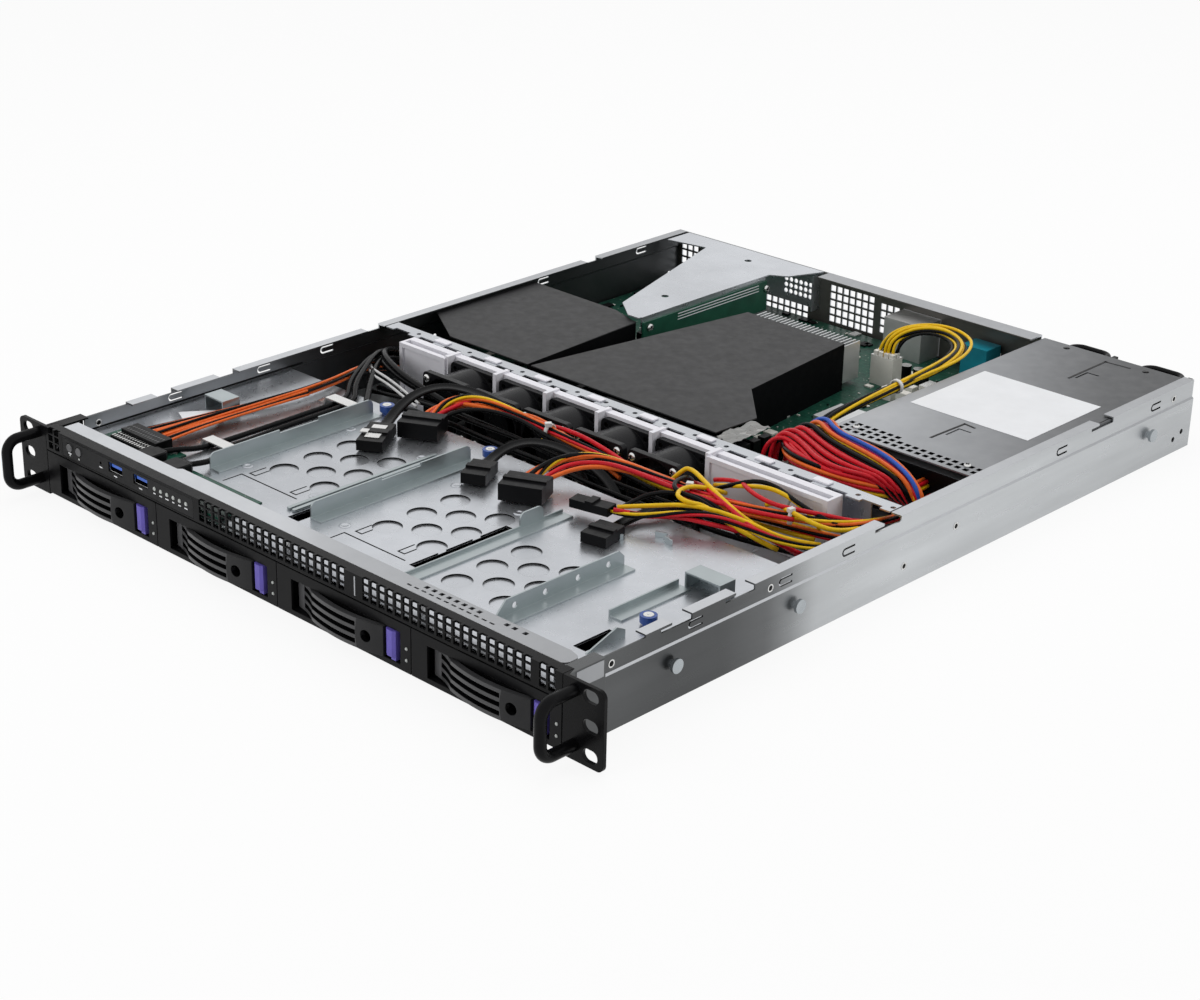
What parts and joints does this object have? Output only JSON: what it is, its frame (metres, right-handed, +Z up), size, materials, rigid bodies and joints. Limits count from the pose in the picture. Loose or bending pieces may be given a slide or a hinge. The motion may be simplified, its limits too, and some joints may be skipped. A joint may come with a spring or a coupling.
{
  "type": "rack server",
  "caption": "Low rack server without its top cover: slotted ears with handles, drive trays across the front, fan wall, main board under air shrouds and a redundant power supply",
  "frame": {"origin": "under the middle of the box, at the underside of the floor sheet", "axes": "+X to the right seen from the front, +Y from front to rear, +Z up"},
  "size_m": [0.4826, 0.604, 0.0498],
  "materials": {
    "galvanised_sheet": "galvanised sheet, satin",
    "psu_sheet": "plated sheet, satin",
    "stud_steel": "plated steel",
    "sink_metal": "plain aluminium",
    "connector_metal": "plated connector shell",
    "black_paint": "black powder coat",
    "dark_plastic": "matte dark grey",
    "button_plastic": "satin grey",
    "black_plastic": "moulded black",
    "latch_plastic": "moulded violet blue",
    "fan_plastic": "moulded black",
    "white_plastic": "moulded white",
    "blue_plastic": "moulded blue",
    "shroud_sheet": "matte black sheet",
    "green_board": "green solder mask",
    "cable_black": "black cable jacket",
    "cable_colour": "coloured wire insulation"
  },
  "bodies": {
    "chassis": {"air_shroud_cpu": "shroud_sheet", "air_shroud_left": "shroud_sheet", "cable_straps": "black_plastic", "chassis_pan": "galvanised_sheet", "control_panel": "dark_plastic", "cpu_power_cable": "cable_colour", "device_rails": "galvanised_sheet", "drive_backplane": "green_board", "drive_cage": "galvanised_sheet", "drive_plugs": "black_plastic", "drive_power_cable_1": "cable_colour", "drive_power_cable_2": "cable_colour", "drive_power_cable_3": "cable_colour", "ear_handles": "black_paint", "fan_bracket": "galvanised_sheet", "fan_frames": "fan_plastic", "fan_housing": "white_plastic", "front_grille": "black_paint", "front_panel_board": "green_board", "front_panel_cable": "cable_black", "front_top_rail": "galvanised_sheet", "heatsink": "sink_metal", "io_ports": "connector_metal", "main_power_harness": "cable_colour", "motherboard": "green_board", "psu_cage": "psu_sheet", "rack_ears": "black_paint", "rail_studs": "stud_steel", "rear_panel": "galvanised_sheet", "riser_bracket": "galvanised_sheet", "riser_card": "green_board", "sata_cable_1": "cable_black", "sata_cable_2": "cable_black", "sata_cable_3": "cable_black", "slot_cover": "galvanised_sheet", "thumbscrews": "blue_plastic", "usb_ports": "connector_metal"},
    "carrier_1": {"carrier_1": "black_plastic"},
    "carrier_2": {"carrier_2": "black_plastic"},
    "carrier_3": {"carrier_3": "black_plastic"},
    "carrier_4": {"carrier_4": "black_plastic"},
    "carrier_lever_1": {"carrier_lever_1": "black_plastic"},
    "carrier_lever_2": {"carrier_lever_2": "black_plastic"},
    "carrier_lever_3": {"carrier_lever_3": "black_plastic"},
    "carrier_lever_4": {"carrier_lever_4": "black_plastic"},
    "carrier_latch_1": {"carrier_latch_1": "latch_plastic"},
    "carrier_latch_2": {"carrier_latch_2": "latch_plastic"},
    "carrier_latch_3": {"carrier_latch_3": "latch_plastic"},
    "carrier_latch_4": {"carrier_latch_4": "latch_plastic"},
    "fan_rotor_1": {"fan_rotor_1": "fan_plastic"},
    "fan_rotor_2": {"fan_rotor_2": "fan_plastic"},
    "fan_rotor_3": {"fan_rotor_3": "fan_plastic"},
    "fan_rotor_4": {"fan_rotor_4": "fan_plastic"},
    "fan_rotor_5": {"fan_rotor_5": "fan_plastic"},
    "psu_module_1": {"psu_module_1": "psu_sheet"},
    "psu_module_2": {"psu_module_2": "psu_sheet"},
    "psu_latch_1": {"psu_latch_1": "black_plastic"},
    "psu_latch_2": {"psu_latch_2": "black_plastic"},
    "power_button": {"power_button": "button_plastic"},
    "reset_button": {"reset_button": "button_plastic"}
  },
  "joints": [
    {"name": "carrier_1_slide", "type": "slide", "parent": "chassis", "child": "carrier_1", "axis": [0, -1, 0], "range_m": [0, 0.15]},
    {"name": "carrier_lever_1_hinge", "type": "hinge", "parent": "carrier_1", "child": "carrier_lever_1", "pos_m": [-0.2, -0.269, 0.0136], "axis": [0, 0, -1], "range_deg": [0, 60]},
    {"name": "carrier_latch_1_press", "type": "slide", "parent": "carrier_1", "child": "carrier_latch_1", "axis": [1, 0, 0], "range_m": [0, 0.0025], "stiffness_N_per_m": 300},
    {"name": "carrier_2_slide", "type": "slide", "parent": "chassis", "child": "carrier_2", "axis": [0, -1, 0], "range_m": [0, 0.15]},
    {"name": "carrier_lever_2_hinge", "type": "hinge", "parent": "carrier_2", "child": "carrier_lever_2", "pos_m": [-0.093, -0.269, 0.0136], "axis": [0, 0, -1], "range_deg": [0, 60]},
    {"name": "carrier_latch_2_press", "type": "slide", "parent": "carrier_2", "child": "carrier_latch_2", "axis": [1, 0, 0], "range_m": [0, 0.0025], "stiffness_N_per_m": 300},
    {"name": "carrier_3_slide", "type": "slide", "parent": "chassis", "child": "carrier_3", "axis": [0, -1, 0], "range_m": [0, 0.15]},
    {"name": "carrier_lever_3_hinge", "type": "hinge", "parent": "carrier_3", "child": "carrier_lever_3", "pos_m": [0.014, -0.269, 0.0136], "axis": [0, 0, -1], "range_deg": [0, 60]},
    {"name": "carrier_latch_3_press", "type": "slide", "parent": "carrier_3", "child": "carrier_latch_3", "axis": [1, 0, 0], "range_m": [0, 0.0025], "stiffness_N_per_m": 300},
    {"name": "carrier_4_slide", "type": "slide", "parent": "chassis", "child": "carrier_4", "axis": [0, -1, 0], "range_m": [0, 0.15]},
    {"name": "carrier_lever_4_hinge", "type": "hinge", "parent": "carrier_4", "child": "carrier_lever_4", "pos_m": [0.121, -0.269, 0.0136], "axis": [0, 0, -1], "range_deg": [0, 60]},
    {"name": "carrier_latch_4_press", "type": "slide", "parent": "carrier_4", "child": "carrier_latch_4", "axis": [1, 0, 0], "range_m": [0, 0.0025], "stiffness_N_per_m": 300},
    {"name": "power_button_press", "type": "slide", "parent": "chassis", "child": "power_button", "axis": [0, 1, 0], "range_m": [0, 0.001], "stiffness_N_per_m": 400},
    {"name": "reset_button_press", "type": "slide", "parent": "chassis", "child": "reset_button", "axis": [0, 1, 0], "range_m": [0, 0.001], "stiffness_N_per_m": 400},
    {"name": "fan_1_spin", "type": "hinge", "parent": "chassis", "child": "fan_rotor_1", "pos_m": [-0.113, -0.035, 0.0214], "axis": [0, 1, 0], "continuous": true},
    {"name": "fan_2_spin", "type": "hinge", "parent": "chassis", "child": "fan_rotor_2", "pos_m": [-0.069, -0.035, 0.0214], "axis": [0, 1, 0], "continuous": true},
    {"name": "fan_3_spin", "type": "hinge", "parent": "chassis", "child": "fan_rotor_3", "pos_m": [-0.025, -0.035, 0.0214], "axis": [0, 1, 0], "continuous": true},
    {"name": "fan_4_spin", "type": "hinge", "parent": "chassis", "child": "fan_rotor_4", "pos_m": [0.019, -0.035, 0.0214], "axis": [0, 1, 0], "continuous": true},
    {"name": "fan_5_spin", "type": "hinge", "parent": "chassis", "child": "fan_rotor_5", "pos_m": [0.063, -0.035, 0.0214], "axis": [0, 1, 0], "continuous": true},
    {"name": "psu_module_1_slide", "type": "slide", "parent": "chassis", "child": "psu_module_1", "axis": [0, 1, 0], "range_m": [0, 0.18]},
    {"name": "psu_latch_1_press", "type": "slide", "parent": "psu_module_1", "child": "psu_latch_1", "axis": [-1, 0, 0], "range_m": [0, 0.002], "stiffness_N_per_m": 400},
    {"name": "psu_module_2_slide", "type": "slide", "parent": "chassis", "child": "psu_module_2", "axis": [0, 1, 0], "range_m": [0, 0.18]},
    {"name": "psu_latch_2_press", "type": "slide", "parent": "psu_module_2", "child": "psu_latch_2", "axis": [-1, 0, 0], "range_m": [0, 0.002], "stiffness_N_per_m": 400}
  ]
}
